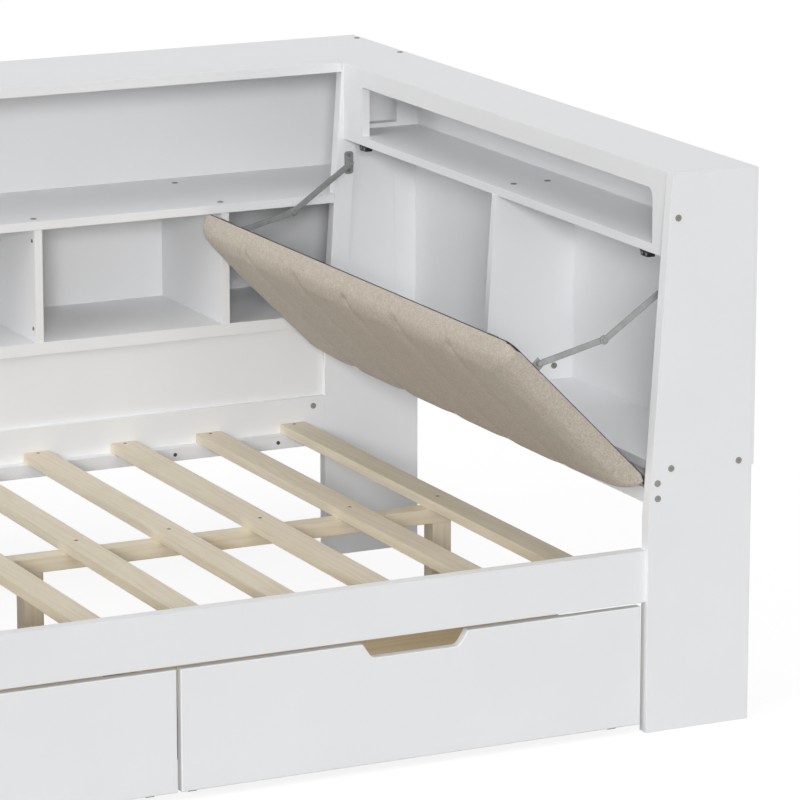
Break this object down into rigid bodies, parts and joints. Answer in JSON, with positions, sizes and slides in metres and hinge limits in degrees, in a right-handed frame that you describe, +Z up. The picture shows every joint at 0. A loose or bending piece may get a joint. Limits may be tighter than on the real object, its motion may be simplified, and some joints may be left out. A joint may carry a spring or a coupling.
{
  "type": "corner bed with bookcases",
  "caption": "Slatted corner bed with a long back bookcase, an end bookcase with a padded tilt-down flap on folding stays, and rolling drawers under the rail.",
  "frame": {"origin": "on the floor under the middle of the footprint", "axes": "+Z up, +X along the bed towards the end bookcase, +Y towards the back bookcase"},
  "size_m": [2.162, 1.7542, 1.0712],
  "materials": {
    "white_paint": "satin white lacquer on board",
    "pine": "sanded bare pine",
    "drawer_ply": "bare plywood",
    "stay_steel": "grey zinc plate",
    "fork_steel": "zinc plate",
    "wheel_black": "matt moulded",
    "catch_black": "matt moulded",
    "bush_plastic": "moulded nylon",
    "dark_screw": "bronze-black plate",
    "linen": "greige linen weave, padded",
    "backing_cloth": "black dust cloth over board"
  },
  "bodies": {
    "frame": {"front_end_panel": "white_paint", "corner_panel": "white_paint", "corner_post": "white_paint", "right_top": "white_paint", "slot_frame": "white_paint", "right_shelf": "white_paint", "right_divider": "white_paint", "right_bottom": "white_paint", "apron": "white_paint", "bottom_rail": "white_paint", "right_back_skin": "white_paint", "back_top": "white_paint", "back_left_end": "white_paint", "corner_end_panel": "white_paint", "back_shelf": "white_paint", "back_bottom": "white_paint", "back_dividers": "white_paint", "back_skin": "white_paint", "back_lower_panel": "white_paint", "front_rail": "white_paint", "back_rail": "white_paint", "front_ledger": "white_paint", "back_ledger": "white_paint", "left_end_panel": "white_paint", "slats": "pine", "centre_beam": "pine", "centre_legs": "pine", "stay_wall_brackets": "stay_steel", "magnet_catches": "catch_black", "pivot_bushes": "bush_plastic", "frame_screws": "dark_screw", "base_screws": "dark_screw", "pivot_bolts": "dark_screw"},
    "flap": {"flap_board": "backing_cloth", "flap_cushion": "linen", "pivot_ears": "stay_steel", "strike_plates": "stay_steel", "stay_flap_brackets": "stay_steel"},
    "front_stay_upper": {"front_stay_upper": "stay_steel"},
    "front_stay_lower": {"front_stay_lower": "stay_steel"},
    "rear_stay_upper": {"rear_stay_upper": "stay_steel"},
    "rear_stay_lower": {"rear_stay_lower": "stay_steel"},
    "left_drawer": {"left_drawer_front": "white_paint", "left_drawer_sides": "drawer_ply", "left_drawer_back": "drawer_ply", "left_drawer_floor": "drawer_ply", "left_drawer_forks": "fork_steel"},
    "right_drawer": {"right_drawer_front": "white_paint", "right_drawer_sides": "drawer_ply", "right_drawer_back": "drawer_ply", "right_drawer_floor": "drawer_ply", "right_drawer_forks": "fork_steel"},
    "left_drawer_wheel_front_1": {"left_drawer_wheel_front_1": "wheel_black"},
    "left_drawer_wheel_front_2": {"left_drawer_wheel_front_2": "wheel_black"},
    "left_drawer_wheel_rear_1": {"left_drawer_wheel_rear_1": "wheel_black"},
    "left_drawer_wheel_rear_2": {"left_drawer_wheel_rear_2": "wheel_black"},
    "right_drawer_wheel_front_1": {"right_drawer_wheel_front_1": "wheel_black"},
    "right_drawer_wheel_front_2": {"right_drawer_wheel_front_2": "wheel_black"},
    "right_drawer_wheel_rear_1": {"right_drawer_wheel_rear_1": "wheel_black"},
    "right_drawer_wheel_rear_2": {"right_drawer_wheel_rear_2": "wheel_black"}
  },
  "joints": [
    {"name": "flap_tilt", "type": "hinge", "parent": "frame", "child": "flap", "pos_m": [0.874, 0, 0.485], "axis": [0, 1, 0], "range_deg": [0, 48.48]},
    {"name": "front_stay_upper_turn", "type": "hinge", "parent": "frame", "child": "front_stay_upper", "pos_m": [0.913, -0.84, 0.855], "axis": [0, 1, 0], "range_deg": [-82.98, 0.5]},
    {"name": "front_stay_lower_turn", "type": "hinge", "parent": "flap", "child": "front_stay_lower", "pos_m": [0.64406, -0.84, 0.73016], "axis": [0, 1, 0], "range_deg": [-0.5, 18.94]},
    {"name": "rear_stay_upper_turn", "type": "hinge", "parent": "frame", "child": "rear_stay_upper", "pos_m": [0.913, 0.537, 0.855], "axis": [0, 1, 0], "range_deg": [-82.98, 0.5]},
    {"name": "rear_stay_lower_turn", "type": "hinge", "parent": "flap", "child": "rear_stay_lower", "pos_m": [0.64406, 0.537, 0.73016], "axis": [0, 1, 0], "range_deg": [-0.5, 18.94]},
    {"name": "left_drawer_slide", "type": "slide", "parent": "frame", "child": "left_drawer", "axis": [0, -1, 0], "range_m": [0, 0.45]},
    {"name": "left_drawer_wheel_front_1_spin", "type": "hinge", "parent": "left_drawer", "child": "left_drawer_wheel_front_1", "pos_m": [-1.008, -0.8215, 0.02], "axis": [1, 0, 0], "range_deg": [-1, 1291]},
    {"name": "left_drawer_wheel_front_2_spin", "type": "hinge", "parent": "left_drawer", "child": "left_drawer_wheel_front_2", "pos_m": [-0.142, -0.8215, 0.02], "axis": [1, 0, 0], "range_deg": [-1, 1291]},
    {"name": "left_drawer_wheel_rear_1_spin", "type": "hinge", "parent": "left_drawer", "child": "left_drawer_wheel_rear_1", "pos_m": [-1.008, -0.3105, 0.02], "axis": [1, 0, 0], "range_deg": [-1, 1291]},
    {"name": "left_drawer_wheel_rear_2_spin", "type": "hinge", "parent": "left_drawer", "child": "left_drawer_wheel_rear_2", "pos_m": [-0.142, -0.3105, 0.02], "axis": [1, 0, 0], "range_deg": [-1, 1291]},
    {"name": "right_drawer_slide", "type": "slide", "parent": "frame", "child": "right_drawer", "axis": [0, -1, 0], "range_m": [0, 0.45]},
    {"name": "right_drawer_wheel_front_1_spin", "type": "hinge", "parent": "right_drawer", "child": "right_drawer_wheel_front_1", "pos_m": [-0.058, -0.8215, 0.02], "axis": [1, 0, 0], "range_deg": [-1, 1291]},
    {"name": "right_drawer_wheel_front_2_spin", "type": "hinge", "parent": "right_drawer", "child": "right_drawer_wheel_front_2", "pos_m": [0.808, -0.8215, 0.02], "axis": [1, 0, 0], "range_deg": [-1, 1291]},
    {"name": "right_drawer_wheel_rear_1_spin", "type": "hinge", "parent": "right_drawer", "child": "right_drawer_wheel_rear_1", "pos_m": [-0.058, -0.3105, 0.02], "axis": [1, 0, 0], "range_deg": [-1, 1291]},
    {"name": "right_drawer_wheel_rear_2_spin", "type": "hinge", "parent": "right_drawer", "child": "right_drawer_wheel_rear_2", "pos_m": [0.808, -0.3105, 0.02], "axis": [1, 0, 0], "range_deg": [-1, 1291]}
  ],
  "couplings": [
    {"joint": "front_stay_upper_turn", "follows": "flap_tilt", "ratio": -1.7012},
    {"joint": "front_stay_lower_turn", "follows": "flap_tilt", "ratio": 0.38038},
    {"joint": "rear_stay_upper_turn", "follows": "flap_tilt", "ratio": -1.7012},
    {"joint": "rear_stay_lower_turn", "follows": "flap_tilt", "ratio": 0.38038},
    {"joint": "left_drawer_wheel_front_1_spin", "follows": "left_drawer_slide", "rad_per_m": 50},
    {"joint": "left_drawer_wheel_front_2_spin", "follows": "left_drawer_slide", "rad_per_m": 50},
    {"joint": "left_drawer_wheel_rear_1_spin", "follows": "left_drawer_slide", "rad_per_m": 50},
    {"joint": "left_drawer_wheel_rear_2_spin", "follows": "left_drawer_slide", "rad_per_m": 50},
    {"joint": "right_drawer_wheel_front_1_spin", "follows": "right_drawer_slide", "rad_per_m": 50},
    {"joint": "right_drawer_wheel_front_2_spin", "follows": "right_drawer_slide", "rad_per_m": 50},
    {"joint": "right_drawer_wheel_rear_1_spin", "follows": "right_drawer_slide", "rad_per_m": 50},
    {"joint": "right_drawer_wheel_rear_2_spin", "follows": "right_drawer_slide", "rad_per_m": 50}
  ]
}
